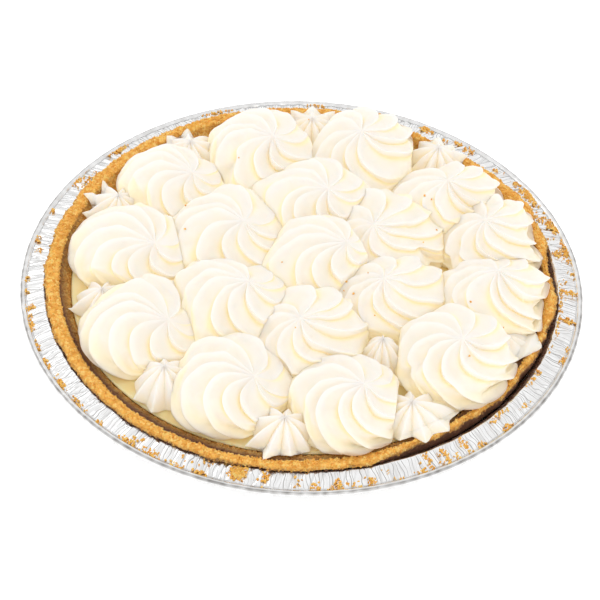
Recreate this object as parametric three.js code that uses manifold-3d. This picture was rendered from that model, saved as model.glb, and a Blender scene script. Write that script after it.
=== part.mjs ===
// A whole key lime pie in its foil pan: crumb crust, pale filling and piped cream on top.
// Millimetres, +Z up. The origin is the centre of the pan's underside; +Y is the far side
// of the pie as it is seen, +X the right side.

import * as THREE from 'three';
import { mergeVertices } from 'three/addons/utils/BufferGeometryUtils.js';
import Module from 'manifold-3d';

// ---------- driving dimensions ----------
const PAN_RADIUS = 122.5;        // over the rolled bead
const BEAD_RADIUS = 1.4;
const BEAD_HEIGHT = 27.0;        // centre of the bead above the table
const FLANGE_INNER_RADIUS = 111.6;
const FLANGE_INNER_HEIGHT = 29.4;
const PAN_FLOOR_RADIUS = 92.0;
const FOIL = 0.5;                // sheet thickness as modelled
const FLUTE_DEPTH = 0.18;        // radial creases of the flange
const PAN_SEGMENTS = 64;

const CRUST_FLOOR = 5.5;         // crumb base thickness
const CRUST_GAP = 0.4;           // clearance between crust and pan
const CRUST_RADIUS = 112.5;      // outer edge of the crest
const CREST_INNER_RADIUS = 105.0;
const CREST_HEIGHT = 32.3;
const CRUMB_RELIEF = 0.45;       // unevenness of the pressed crumb edge
const CRUST_SEGMENTS = 66;

const FILLING_RADIUS = 100.2;
const FILLING_TOP = 27.85;
const FILLING_SEGMENTS = 42;

const GAP = 0.3;                 // air between neighbouring pieces
const CREAM_BASE = FILLING_TOP + GAP;
const SWIRL_RIDGES = 10;
const STAR_RIDGES = 9;
const CREAM_REACH = 109;         // how far from the middle of the pie the cream may reach

// Piped swirls: place, foot radius, height, bearing in degrees of one ridge's foot, the offset
// of the point where the ridges meet, and how much lower that side of the swirl is.
const swirls = [
  // outer ring
  { x: -23.6, y: 76.4, radius: 24.2, height: 21.5, ridge: 249, lean: [8.0, -3.6], drop: 0.29 },
  { x: 26.2, y: 79.4, radius: 23.8, height: 21.0, ridge: 272, lean: [-1.8, -1.7], drop: 0.25 },
  { x: -63.6, y: 50.5, radius: 22.3, height: 21.5, ridge: 240, lean: [12.9, -2.1], drop: 0.4 },
  { x: 64.7, y: 45.6, radius: 22.2, height: 20.5, ridge: 277, lean: [-1.5, 0.8], drop: 0.3 },
  { x: -79.1, y: 6.6, radius: 23.0, height: 22.0, ridge: 223, lean: [15.5, -6.6], drop: 0.3 },
  { x: 83.8, y: 21.9, radius: 22.0, height: 21.0, ridge: 307, lean: [-4.7, 0.0], drop: 0.35 },
  { x: 84.6, y: -16.6, radius: 22.8, height: 21.5, ridge: 279, lean: [-1.5, 6.0], drop: 0.27 },
  { x: -67.8, y: -41.7, radius: 23.8, height: 22.5, ridge: 271, lean: [13.5, -2.0], drop: 0.55 },
  { x: -28.1, y: -72.1, radius: 24.0, height: 22.0, ridge: 274, lean: [10.9, -2.3], drop: 0.55 },
  { x: 19.8, y: -79.5, radius: 23.2, height: 20.5, ridge: 268, lean: [6.9, 1.3], drop: 0.32 },
  { x: 64.5, y: -52.0, radius: 24.2, height: 22.0, ridge: 276, lean: [2.0, -2.4], drop: 0.0 },
  // inner ring
  { x: 2.3, y: 42.3, radius: 22.4, height: 21.5, ridge: 263, lean: [7.8, -4.7], drop: 0.23 },
  { x: -33.7, y: 18.1, radius: 23.3, height: 21.5, ridge: 274, lean: [7.5, -2.2], drop: 0.45 },
  { x: 38.5, y: 22.4, radius: 22.5, height: 20.5, ridge: 356, lean: [-8.5, -4.4], drop: 0.4 },
  { x: -30.2, y: -27.3, radius: 22.4, height: 22.5, ridge: 256, lean: [7.8, 5.0], drop: 0.35 },
  { x: 38.9, y: -18.0, radius: 21.0, height: 20.5, ridge: 278, lean: [-4.5, 0.4], drop: 0.32 },
  { x: 4.8, y: -42.5, radius: 22.8, height: 21.0, ridge: 356, lean: [-5.0, -0.9], drop: 0.33 },
  // middle
  { x: 5.0, y: 5.8, radius: 21.0, height: 22.0, ridge: 307, lean: [14.0, -2.5], drop: 0.2 },
];

// Small drop stars that fill the hollows between the swirls: place, radius, height, bearing of
// a lobe, how deep the grooves are, and how far the lobes on the right are drawn out.
const stars = [
  { x: -54.0, y: 74.0, radius: 17.0, height: 12.5, lobe: 20, grooves: 1, stretch: 0 },
  { x: -83.5, y: 36.0, radius: 16.0, height: 11.5, lobe: 0, grooves: 1, stretch: 0 },
  { x: 1.6, y: 95.0, radius: 16.0, height: 12.0, lobe: 10, grooves: 1, stretch: 0 },
  { x: 60.5, y: 78.0, radius: 15.5, height: 11.5, lobe: 5, grooves: 1, stretch: 0 },
  { x: -84.6, y: -23.5, radius: 14.0, height: 11.0, lobe: 0, grooves: 1, stretch: 0 },
  { x: -54.5, y: -69.5, radius: 14.5, height: 14.0, lobe: 15, grooves: 0.6, stretch: 0 },
  { x: -4.6, y: -93.6, radius: 15.5, height: 13.0, lobe: 3, grooves: 1, stretch: 0 },
  { x: 46.0, y: -82.0, radius: 14.5, height: 12.5, lobe: 12, grooves: 0.8, stretch: 0.4 },
  { x: 34.2, y: -50.5, radius: 10.5, height: 15.5, lobe: 8, grooves: 0.7, stretch: 0 },
  { x: 87.5, y: -36.5, radius: 13.5, height: 6.5, lobe: 20, grooves: 0.15, stretch: 0 },
];

// ---------- small helpers ----------
const TAU = Math.PI * 2;
const mix = (a, b, t) => a + (b - a) * t;

// Repeatable random numbers from a fixed seed.
function randomFrom(seed) {
  let state = seed >>> 0;
  return () => {
    state = (state + 0x6d2b79f5) >>> 0;
    let t = state;
    t = Math.imul(t ^ (t >>> 15), t | 1);
    t ^= t + Math.imul(t ^ (t >>> 7), t | 61);
    return ((t ^ (t >>> 14)) >>> 0) / 4294967296;
  };
}

// A smooth rise and fall around one compass direction, all in degrees.
function swell(angle, centre, halfWidth) {
  const turn = ((((angle - centre) % 360) + 540) % 360) - 180;
  return Math.abs(turn) < halfWidth ? Math.cos((turn / halfWidth) * Math.PI / 2) ** 2 : 0;
}

// 0 below 0, 1 above 1, with a soft bend at both ends.
function smooth(t) {
  const kept = Math.min(1, Math.max(0, t));
  return kept * kept * (3 - 2 * kept);
}

// A closed solid from rings of equal length, with a centre point before and after them.
function ringSolid(first, rings, last) {
  const n = rings[0].length;
  const points = [first, ...rings.flat(), last];
  const end = points.length - 1;
  const faces = [];
  for (let j = 0; j < n; j++) {
    const k = (j + 1) % n;
    faces.push(0, 1 + k, 1 + j);
    for (let i = 0; i + 1 < rings.length; i++) {
      const a = 1 + i * n + j, b = 1 + i * n + k;
      faces.push(a, b, b + n, a, b + n, a + n);
    }
    faces.push(end, end - n + j, end - n + k);
  }
  const geometry = new THREE.BufferGeometry();
  geometry.setAttribute('position', new THREE.Float32BufferAttribute(points.flat(), 3));
  geometry.setIndex(faces);
  return geometry;
}

// Rings round the pie's own axis: profile(angle) gives radius and height of every ring.
function turnedSolid(segments, profile) {
  const columns = [];
  for (let j = 0; j < segments; j++) {
    const angle = (j / segments) * TAU;
    columns.push(profile(angle, j).map(([r, z]) => [r * Math.cos(angle), r * Math.sin(angle), z]));
  }
  const rows = columns[0].length;
  const ring = i => columns.map(column => column[i]);
  const rings = Array.from({ length: rows - 2 }, (_, i) => ring(i + 1));
  return ringSolid([0, 0, columns[0][0][2]], rings, [0, 0, columns[0][rows - 1][2]]);
}

// ---------- booleans ----------
const wasm = await Module();
wasm.setup();

function toSolid(geometry) {
  const bare = geometry.clone();
  bare.deleteAttribute('normal');
  bare.deleteAttribute('uv');
  const merged = mergeVertices(bare, 1e-4);
  const mesh = new wasm.Mesh({
    numProp: 3,
    vertProperties: new Float32Array(merged.attributes.position.array),
    triVerts: new Uint32Array(merged.index.array),
  });
  return new wasm.Manifold(mesh);
}

function toGeometry(solid) {
  const mesh = solid.getMesh();
  const geometry = new THREE.BufferGeometry();
  geometry.setAttribute('position', new THREE.Float32BufferAttribute(mesh.vertProperties, 3));
  geometry.setIndex(Array.from(mesh.triVerts));
  return geometry;
}

// ---------- foil pan ----------
const wallSlope = (FLANGE_INNER_RADIUS - 0.9 - PAN_FLOOR_RADIUS - 2) / (FLANGE_INNER_HEIGHT - 3);
const wallRadius = z => PAN_FLOOR_RADIUS + 2 + (z - 2) * wallSlope;

function makePan() {
  const random = randomFrom(7);
  const half = FOIL / 2;
  return turnedSolid(PAN_SEGMENTS, (angle, j) => {
    const flute = (j % 2 ? 1 : -1) * FLUTE_DEPTH * (0.6 + 0.4 * random());
    const beadR = PAN_RADIUS - BEAD_RADIUS;
    const z = FLANGE_INNER_HEIGHT;
    return [
      [0, 0],
      [PAN_FLOOR_RADIUS, 0],
      [wallRadius(2) + half, 2 - half],
      [wallRadius(z - 1) + half, z - 1 - half],
      [FLANGE_INNER_RADIUS + 0.5, z - half],
      [116.4, 28.15 - half + flute],
      [beadR - 1.2, BEAD_HEIGHT - 0.45],
      [beadR + 0.2, BEAD_HEIGHT - BEAD_RADIUS],
      [PAN_RADIUS, BEAD_HEIGHT],
      [beadR + 0.2, BEAD_HEIGHT + BEAD_RADIUS],
      [beadR - 1.2, BEAD_HEIGHT + 0.55],
      [116.4, 28.15 + half + flute],
      [FLANGE_INNER_RADIUS, z + half],
      [wallRadius(z - 1) - half, z - 1 + half],
      [wallRadius(2) - half, 2 + half],
      [PAN_FLOOR_RADIUS - 0.4, FOIL],
      [0, FOIL],
    ];
  });
}

// ---------- crust ----------
// The crumb wall stands clear of the pan at the right front, and spreads over the flange
// at the front; its crest is narrower at the right and a little higher at the back.
function crustShape(angle) {
  const a = THREE.MathUtils.radToDeg(angle);
  return {
    outer: CRUST_RADIUS + 1.5 * swell(a, 248, 58) - 3.4 * swell(a, 317, 40) - 1.2 * swell(a, 345, 30)
      - 1.8 * swell(a, 298, 16) - 2.8 * swell(a, 6, 13) + 0.8 * swell(a, 27, 10) - 3.0 * swell(a, 56, 26),
    inner: CREST_INNER_RADIUS + 3.2 * swell(a, 250, 60) - 0.8 * swell(a, 312, 36)
      + 1.0 * swell(a, 95, 60),
    top: CREST_HEIGHT + 0.7 * Math.sin(angle) + 0.7 * swell(a, 130, 45),
  };
}

function crustProfile(angle, crumb) {
  const { outer, inner, top } = crustShape(angle);
  // 1 where the crest spreads over the flange, 0 where the wall stands clear of the pan
  const spread = Math.min(1, Math.max(0, (outer - 110.6) / 1.2));
  const wall = z => wallRadius(z) - FOIL / 2 - CRUST_GAP;
  const clear = (r, z) => [z < 29.3 ? Math.min(r, wall(z)) : r, z];
  const shoulder = mix(26.5, 30.0, spread);
  const shoulderRadius = mix(outer - 0.6, 110.9, spread);
  return [
    [0, 0.9],
    [PAN_FLOOR_RADIUS - 0.9, 0.9],
    [wall(2.6), 2.6],
    [wall(mix(24, 28.2, spread)), mix(24, 28.2, spread)],
    clear(shoulderRadius, shoulder),
    clear(outer - mix(0.2, 0.6, spread), mix(28.6, 30.1, spread)),
    [outer + crumb(), mix(30.2, 30.95, spread) + 0.3 * crumb()],
    [outer - 0.9 + crumb(), top - 0.35 + 0.4 * crumb()],
    [mix(inner, outer, 0.55), top + 0.35 * crumb()],
    [inner + 0.6 * crumb(), top - 0.35 + 0.4 * crumb()],
    [mix(FILLING_RADIUS + 0.6, inner, 0.52), 28.9 + 0.2 * crumb()],
    [FILLING_RADIUS + 0.4, 27.2],
    [FILLING_RADIUS - 0.9, 24.8],
    [88.6, CRUST_FLOOR + 0.9],
    [0, CRUST_FLOOR + 0.9],
  ];
}

function makeCrust() {
  const random = randomFrom(21);
  const crumb = () => (random() * 2 - 1) * CRUMB_RELIEF;
  return turnedSolid(CRUST_SEGMENTS, angle => crustProfile(angle, crumb));
}

// Cream near the edge lies on the crust: its points stay above a straight line that clears the
// crumb slope, and above a gentler one over the crest.
function restOnCrust([x, y, z], above) {
  const angle = Math.atan2(y, x);
  const { inner, top } = crustShape(angle);
  const r = Math.min(Math.hypot(x, y), CREAM_REACH);
  const foot = FILLING_RADIUS - 0.5;
  const crest = inner - 0.3;
  const climb = Math.max(0, Math.min(1, (r - foot) / (crest - foot)));
  const floor = mix(CREAM_BASE, top + 0.6, climb) + 0.25 * Math.max(0, r - crest);
  return [r * Math.cos(angle), r * Math.sin(angle), Math.max(z, floor + above)];
}

// ---------- filling ----------
function makeFilling() {
  return turnedSolid(FILLING_SEGMENTS, angle => [
    [0, CRUST_FLOOR + 1.25],
    [88.2, CRUST_FLOOR + 1.25],
    [FILLING_RADIUS - 1.4, 24.9],
    [FILLING_RADIUS - 0.15, FILLING_TOP - 0.55],
    [FILLING_RADIUS - 1.2, FILLING_TOP - 0.08 * (1 + Math.sin(angle * 5))],
    [60, FILLING_TOP - 0.08 * (1 + Math.cos(angle * 3))],
    [0, FILLING_TOP],
  ]);
}

// ---------- piped cream ----------
// A ridge starts at the foot, runs clockwise up the steep side and over to the point where all
// the ridges meet. The groove lies just before each ridge and is deepest at the front right.
const ridgeRows = [
  { out: 0.97, up: 0.0, turn: 4, depth: 1.8 },
  { out: 1.11, up: 0.19, turn: -25, depth: 2.9 },
  { out: 1.02, up: 0.47, turn: -54, depth: 2.5 },
  { out: 0.76, up: 0.8, turn: -86, depth: 2.1 },
  { out: 0.28, up: 0.945, turn: -111, depth: 0.9 },
];
const SWIRL_TOP = 0.98;  // how high the ridges meet, as a share of the height
const ridgeColumns = [{ across: 0.0, sink: 0 }, { across: 0.36, sink: 1.3 }, { across: 0.86, sink: 2.1 }];

// Ridges stand closer together at the front right than at the back left, in degrees.
const spread = bearing => bearing - 5 * Math.sin(THREE.MathUtils.degToRad(bearing + 35));

function makeSwirl({ x, y, radius, height, ridge, lean, drop }, index) {
  const random = randomFrom(100 + index);
  const ridges = Array.from({ length: SWIRL_RIDGES }, () => ({
    strength: 0.75 + 0.4 * random(),
    shift: (random() - 0.5) * 0.16,
  }));
  const leanLength = Math.hypot(lean[0], lean[1]);

  // a point of the swirl from its place on the round form
  const pointAt = (angle, reach, out, up, push) => {
    const toTop = Math.max(0, up - 0.35) / 0.65 * (1 - out * 0.5);
    const dx = lean[0] * toTop + reach * Math.cos(angle);
    const dy = lean[1] * toTop + reach * Math.sin(angle);
    const side = (dx * lean[0] + dy * lean[1]) / leanLength / radius;
    const rise = height * up * (1 - drop * Math.max(0, side + 0.1)) + push;
    const z = CREAM_BASE + Math.max(rise, height * up * 0.2);
    return restOnCrust([x + dx, y + dy, z], height * up * 0.35);
  };

  const rings = ridgeRows.map(({ out, up, turn, depth }, row) => {
    const below = ridgeRows[Math.max(0, row - 1)];
    const above = ridgeRows[row + 1] ?? { out: 0, up: SWIRL_TOP };
    const slopeOut = radius * (above.out - below.out), slopeUp = height * (above.up - below.up);
    const steep = Math.hypot(slopeOut, slopeUp);
    return ridges.flatMap(({ strength, shift }, k) => ridgeColumns.map(({ across, sink }) => {
      const foot = ridge + spread(ridge + 360 * (k + across + shift) / SWIRL_RIDGES) - spread(ridge);
      const bearing = foot + turn;
      const angle = THREE.MathUtils.degToRad(bearing);
      const front = swell(bearing, -50, 140) * Math.min(1, Math.max(0, 1.35 - up / 0.5));
      const calm = 1 - 0.75 * smooth((up - 0.5) / 0.3) * swell(bearing, 35, 80);
      const push = -depth * strength * sink * (0.85 + 0.8 * front) * calm;
      const full = 0.1 * swell(bearing, 40, 110) * smooth((up - 0.15) / 0.3);
      const trim = 1 - 0.05 * swell(bearing, 160, 95) + full;
      let reach = Math.max(radius * out * trim + push * slopeUp / steep, 0.2 * radius * out);
      // inside the pie the foot spreads until it meets the neighbours
      const fromMiddle = Math.hypot(x + reach * Math.cos(angle), y + reach * Math.sin(angle));
      reach *= 1 + 0.17 * smooth((0.34 - up) / 0.3) * smooth((99 - fromMiddle) / 12);
      return pointAt(angle, reach, out, up, up > 0 ? -push * slopeOut / steep : 0);
    }));
  });
  return ringSolid(restOnCrust([x, y, CREAM_BASE], 0), rings, pointAt(0, 0, 0, SWIRL_TOP, 0));
}

const starRows = [
  { out: 0.9, up: 0.0, depth: 0.16 },
  { out: 1.0, up: 0.1, depth: 0.32 },
  { out: 0.68, up: 0.57, depth: 0.38 },
  { out: 0.26, up: 0.92, depth: 0.3 },
];

function makeStar({ x, y, radius, height, lobe, grooves, stretch }, index) {
  const random = randomFrom(300 + index);
  const lobes = Array.from({ length: STAR_RIDGES }, () => 0.9 + 0.2 * random());
  const start = THREE.MathUtils.degToRad(lobe);
  const pointAt = (turn, length, up) => {
    const angle = start + turn * TAU / STAR_RIDGES;
    const reach = radius * length * (1 + stretch * Math.max(0, Math.cos(angle)) ** 2);
    const z = CREAM_BASE + height * up;
    return restOnCrust([x + reach * Math.cos(angle), y + reach * Math.sin(angle), z], height * up * 0.5);
  };
  const rings = starRows.map(({ out, up, depth }) => lobes.flatMap((length, k) => [
    pointAt(k, out * length, up),
    pointAt(k + 0.5, out * (1 - grooves * depth), up),
  ]));
  // the underside of a star that leans on the crust stands a little higher
  const lift = 0.5 * Math.max(0, Math.hypot(x, y) - 95);
  return ringSolid(restOnCrust([x, y, CREAM_BASE], lift), rings, [x, y, CREAM_BASE + height]);
}

// Every piece of cream keeps to its own patch of the pie, bounded by straight upright cuts
// through the places where its round foot meets its neighbours'. The left side of a piece lies
// over its neighbour, so the cuts stand a little further left.
const LEFT_LAP = 1.2;
function patchOf(piece, others) {
  let outline = Array.from({ length: 40 }, (_, i) => {
    const angle = (i / 40) * TAU;
    return [112 * Math.cos(angle), 112 * Math.sin(angle)];
  });
  for (const other of others) {
    const dx = other.x - piece.x, dy = other.y - piece.y;
    const distance = Math.hypot(dx, dy);
    if (other === piece || distance > 60) continue;
    const middle = (distance ** 2 + piece.radius ** 2 - other.radius ** 2) / (2 * distance);
    const reach = middle - GAP / 2 - LEFT_LAP * dx / distance;
    const side = ([px, py]) => ((px - piece.x) * dx + (py - piece.y) * dy) / distance - reach;
    const kept = [];
    outline.forEach((p, i) => {
      const q = outline[(i + 1) % outline.length];
      const sp = side(p), sq = side(q);
      if (sp <= 0) kept.push(p);
      if (sp * sq < 0) kept.push([mix(p[0], q[0], sp / (sp - sq)), mix(p[1], q[1], sp / (sp - sq))]);
    });
    outline = kept;
  }
  return outline;
}

function patchSolid(outline) {
  const shape = new THREE.Shape(outline.map(([px, py]) => new THREE.Vector2(px, py)));
  const prism = new THREE.ExtrudeGeometry(shape, { depth: 60, bevelEnabled: false, steps: 1 });
  return toSolid(prism.translate(0, 0, 10));
}

// ---------- materials ----------
const looks = {
  foil: { color: 0xd6d6d2, roughness: 0.35, metalness: 1.0 },
  crust: { color: 0xd9953f, roughness: 0.95, metalness: 0.0 },
  filling: { color: 0xecd89a, roughness: 0.45, metalness: 0.0 },
  cream: { color: 0xfbf4e4, roughness: 0.5, metalness: 0.0 },
};

const pie = new THREE.Group();
pie.name = 'key_lime_pie';

function place(name, geometry, look) {
  geometry.computeVertexNormals();
  const mesh = new THREE.Mesh(geometry, new THREE.MeshStandardMaterial(looks[look]));
  mesh.name = name;
  pie.add(mesh);
}

// ---------- assembly ----------
place('foil_pan', makePan(), 'foil');
place('crust', makeCrust(), 'crust');
place('filling', makeFilling(), 'filling');

const creamPieces = [...swirls, ...stars];
const twoDigits = i => String(i + 1).padStart(2, '0');

function placeCream(name, piece, geometry) {
  const solid = toSolid(geometry).intersect(patchSolid(patchOf(piece, creamPieces)));
  place(name, toGeometry(solid), 'cream');
}

swirls.forEach((piece, i) => placeCream(`cream_swirl_${twoDigits(i)}`, piece, makeSwirl(piece, i)));
stars.forEach((piece, i) => placeCream(`cream_star_${twoDigits(i)}`, piece, makeStar(piece, i)));

export default pie;
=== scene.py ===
# A key lime pie in its foil pan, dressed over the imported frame. Metres, +Z up.
import math
import random

import bpy
import bmesh
import numpy as np
from mathutils import Matrix, Vector, noise
from mathutils.bvhtree import BVHTree


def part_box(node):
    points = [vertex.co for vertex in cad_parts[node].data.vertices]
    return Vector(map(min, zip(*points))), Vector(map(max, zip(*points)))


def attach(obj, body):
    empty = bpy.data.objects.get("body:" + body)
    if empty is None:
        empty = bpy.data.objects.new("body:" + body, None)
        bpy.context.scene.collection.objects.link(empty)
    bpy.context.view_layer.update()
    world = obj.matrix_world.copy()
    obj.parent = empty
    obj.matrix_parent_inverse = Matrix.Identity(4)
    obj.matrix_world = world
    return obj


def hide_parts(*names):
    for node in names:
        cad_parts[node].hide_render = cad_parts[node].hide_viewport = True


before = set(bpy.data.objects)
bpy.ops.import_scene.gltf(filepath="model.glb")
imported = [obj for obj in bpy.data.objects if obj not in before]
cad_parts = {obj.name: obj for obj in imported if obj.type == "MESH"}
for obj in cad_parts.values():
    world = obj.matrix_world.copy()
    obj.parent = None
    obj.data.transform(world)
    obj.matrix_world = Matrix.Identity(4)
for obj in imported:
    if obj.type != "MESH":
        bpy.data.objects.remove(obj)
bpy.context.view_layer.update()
mm = 0.001
tau = math.tau

camera = {
    "elevation": 44.74,  # degrees above the table
    "roll": 2.36,
    "distance": 0.8,
    "focalPixels": 1851.7,
    "pictureWidth": 600,  # pixels
    "sensorWidth": 36.0,
    "target": (-0.0006, -0.0135, 0.027),
}


def makeCamera():
    elevation = math.radians(camera["elevation"])
    roll = math.radians(camera["roll"])
    back = Vector((0, -math.cos(elevation), math.sin(elevation)))
    right = Vector((1, 0, 0))
    up = back.cross(right)
    xAxis = right * math.cos(roll) + up * math.sin(roll)
    yAxis = up * math.cos(roll) - right * math.sin(roll)
    data = bpy.data.cameras.new("camera")
    data.sensor_width = camera["sensorWidth"]
    data.lens = camera["focalPixels"] / camera["pictureWidth"] * camera["sensorWidth"]
    data.clip_start = 0.01
    data.clip_end = 20
    eye = bpy.data.objects.new("camera", data)
    bpy.context.collection.objects.link(eye)
    place = Matrix((xAxis, yAxis, back)).transposed().to_4x4()
    place.translation = Vector(camera["target"]) + back * camera["distance"]
    eye.matrix_world = place
    bpy.context.scene.camera = eye


makeCamera()
print("camera placed")


def swell(angle, centre, halfWidth):
    # smooth rise and fall round one bearing, in degrees
    turn = (np.asarray(angle, dtype=float) - centre + 180) % 360 - 180
    return np.where(np.abs(turn) < halfWidth, np.cos(turn / halfWidth * math.pi / 2) ** 2, 0.0)


def smooth(t):
    t = np.clip(t, 0, 1)
    return t * t * (3 - 2 * t)


def curveThrough(table, column, at):
    # a smooth curve through the rows of a small table, read at the values in at
    xs = np.array([row[0] for row in table], dtype=float)
    ys = np.array([row[column] for row in table], dtype=float)
    slopes = np.gradient(ys, xs)
    i = np.clip(np.searchsorted(xs, at) - 1, 0, len(xs) - 2)
    h = xs[i + 1] - xs[i]
    t = np.clip((at - xs[i]) / h, 0, 1)
    a = 2 * t**3 - 3 * t**2 + 1
    b = t**3 - 2 * t**2 + t
    c = -2 * t**3 + 3 * t**2
    d = t**3 - t**2
    return a * ys[i] + b * h * slopes[i] + c * ys[i + 1] + d * h * slopes[i + 1]


def foldKnots(count, seed):
    # unevenly spaced bearings, turn about high and low
    rng = np.random.default_rng(seed)
    knots = np.cumsum(rng.uniform(0.35, 1.0, count))
    heights = rng.uniform(0.25, 1.0, count) * np.where(np.arange(count) % 2, 1, -1)
    return knots * 360 / knots[-1], heights


def zigzag(bearing, count, seed):
    # straight folds between those bearings, from -1 to 1
    knots, heights = foldKnots(count, seed)
    return np.interp(np.asarray(bearing) % 360, knots, heights, period=360)


def turnBetween(first, second):
    # the smaller angle between two bearings, in degrees
    return np.abs((first - second + 180) % 360 - 180)


def foldLines(bearing, count, seed, width):
    # thin lines, 0 to 1, along the low folds
    knots, heights = foldKnots(count, seed)
    low = knots[heights < 0]
    depth = -heights[heights < 0]
    at = np.asarray(bearing) % 360
    i = np.searchsorted(low, at) % len(low)
    nearest = np.where(turnBetween(at, low[i]) < turnBetween(at, low[i - 1]), i, i - 1)
    return depth[nearest] * np.exp(-(turnBetween(at, low[nearest]) / width) ** 2)


def alongLines(stops, counts):
    # rows of values spread evenly from stop to stop; counts holds how many start on each stretch
    rows = []
    for a, b, count in zip(stops, stops[1:], counts):
        for t in np.arange(count) / count:
            rows.append([p + (q - p) * t for p, q in zip(a, b)])
    return rows + [list(stops[-1])]


def lowest(node):
    # lowest corner of a node in the frame, mm
    return [round(value / mm, 2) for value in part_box(node)[0]]


def highest(node):
    return [round(value / mm, 2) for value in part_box(node)[1]]


def meshObject(name, points, faces):
    mesh = bpy.data.meshes.new(name)
    mesh.vertices.add(len(points))
    mesh.vertices.foreach_set("co", np.asarray(points, dtype=np.float32).ravel())
    loops = np.concatenate([block.ravel() for block in faces])
    counts = np.concatenate([np.full(len(block), block.shape[1]) for block in faces])
    mesh.loops.add(len(loops))
    mesh.loops.foreach_set("vertex_index", loops.astype(np.int32))
    mesh.polygons.add(len(counts))
    mesh.polygons.foreach_set("loop_start", (np.cumsum(counts) - counts).astype(np.int32))
    mesh.polygons.foreach_set("loop_total", counts.astype(np.int32))
    mesh.update(calc_edges=True)
    mesh.shade_smooth()
    piece = bpy.data.objects.new(name, mesh)
    bpy.context.collection.objects.link(piece)
    return piece


def ringMesh(name, rings, first, last):
    # a closed mesh from rings of equal length, with a point before and after them
    rings = np.asarray(rings, dtype=float)
    rows, columns, _ = rings.shape
    points = np.vstack([np.reshape(first, (1, 3)), rings.reshape(-1, 3), np.reshape(last, (1, 3))])
    end = len(points) - 1
    j = np.arange(columns)
    k = (j + 1) % columns
    quads = []
    for i in range(rows - 1):
        a = 1 + i * columns
        quads.append(np.stack([a + j, a + k, a + columns + k, a + columns + j], 1))
    low = np.stack([np.zeros_like(j), 1 + k, 1 + j], 1)
    high = np.stack([np.full_like(j, end), end - columns + j, end - columns + k], 1)
    return meshObject(name, points, [np.concatenate(quads), low, high])


def setAttribute(piece, name, values):
    # one value for each point of a ring mesh; its two end points get zero
    attribute = piece.data.attributes.new(name, "FLOAT", "POINT")
    attribute.data.foreach_set("value", np.concatenate([[0], np.ravel(values), [0]]).astype(np.float32))


def finishPiece(piece, material, slotName, *nodes):
    piece.data.materials.clear()
    piece.data.materials.append(material)
    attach(piece, "root")
    if nodes:
        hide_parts(*nodes)


def newMaterial(name):
    material = bpy.data.materials.new(name)
    material.use_nodes = True
    tree = material.node_tree
    tree.nodes.clear()
    out = tree.nodes.new("ShaderNodeOutputMaterial")
    shader = tree.nodes.new("ShaderNodeBsdfPrincipled")
    tree.links.new(shader.outputs["BSDF"], out.inputs["Surface"])
    return material, tree, shader


def addNode(tree, kind, inputs=None, **settings):
    node = tree.nodes.new(kind)
    for key, value in settings.items():
        setattr(node, key, value)
    for key, value in (inputs or {}).items():
        if isinstance(value, bpy.types.NodeSocket):
            tree.links.new(value, node.inputs[key])
        else:
            node.inputs[key].default_value = value
    return node


def mixColor(tree, factor, first, second):
    node = addNode(tree, "ShaderNodeMix", data_type="RGBA")
    for index, value in ((0, factor), (6, first), (7, second)):
        if isinstance(value, bpy.types.NodeSocket):
            tree.links.new(value, node.inputs[index])
        else:
            node.inputs[index].default_value = value
    return node.outputs[2]


def rampBetween(tree, value, low, high):
    node = addNode(tree, "ShaderNodeMapRange", {"Value": value, "From Min": low, "From Max": high})
    return node.outputs["Result"]


def makeMottleGroup():
    # slow and fine unevenness, as a mask and as a height, for anything moist or baked
    group = bpy.data.node_groups.new("mottle", "ShaderNodeTree")
    group.interface.new_socket("Vector", in_out="INPUT", socket_type="NodeSocketVector")
    group.interface.new_socket("Broad", in_out="INPUT", socket_type="NodeSocketFloat")
    group.interface.new_socket("Fine", in_out="INPUT", socket_type="NodeSocketFloat")
    group.interface.new_socket("Mask", in_out="OUTPUT", socket_type="NodeSocketFloat")
    group.interface.new_socket("Height", in_out="OUTPUT", socket_type="NodeSocketFloat")
    enter = group.nodes.new("NodeGroupInput")
    leave = group.nodes.new("NodeGroupOutput")
    broad = addNode(group, "ShaderNodeTexNoise",
                    {"Vector": enter.outputs["Vector"], "Scale": enter.outputs["Broad"], "Detail": 2.0})
    fine = addNode(group, "ShaderNodeTexNoise",
                   {"Vector": enter.outputs["Vector"], "Scale": enter.outputs["Fine"], "Detail": 3.0})
    both = addNode(group, "ShaderNodeMath", {0: broad.outputs["Fac"], 1: fine.outputs["Fac"]},
                   operation="ADD")
    half = addNode(group, "ShaderNodeMath", {0: both.outputs[0], 1: 0.5}, operation="MULTIPLY")
    group.links.new(rampBetween(group, broad.outputs["Fac"], 0.35, 0.65), leave.inputs["Mask"])
    group.links.new(half.outputs[0], leave.inputs["Height"])
    return group


mottle = makeMottleGroup()


def addMottle(tree, look):
    coords = addNode(tree, "ShaderNodeTexCoord").outputs["Object"]
    node = tree.nodes.new("ShaderNodeGroup")
    node.node_tree = mottle
    tree.links.new(coords, node.inputs["Vector"])
    for name, size in zip(("Broad", "Fine"), look["unevenness"]):
        node.inputs[name].default_value = size
    return node.outputs["Mask"], node.outputs["Height"]


def finishShader(tree, shader, height, look):
    strength, depth = look["bump"]
    bump = addNode(tree, "ShaderNodeBump", {"Height": height, "Strength": strength, "Distance": depth})
    tree.links.new(bump.outputs["Normal"], shader.inputs["Normal"])
    for name, value in look["shader"].items():
        shader.inputs[name].default_value = value


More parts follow.
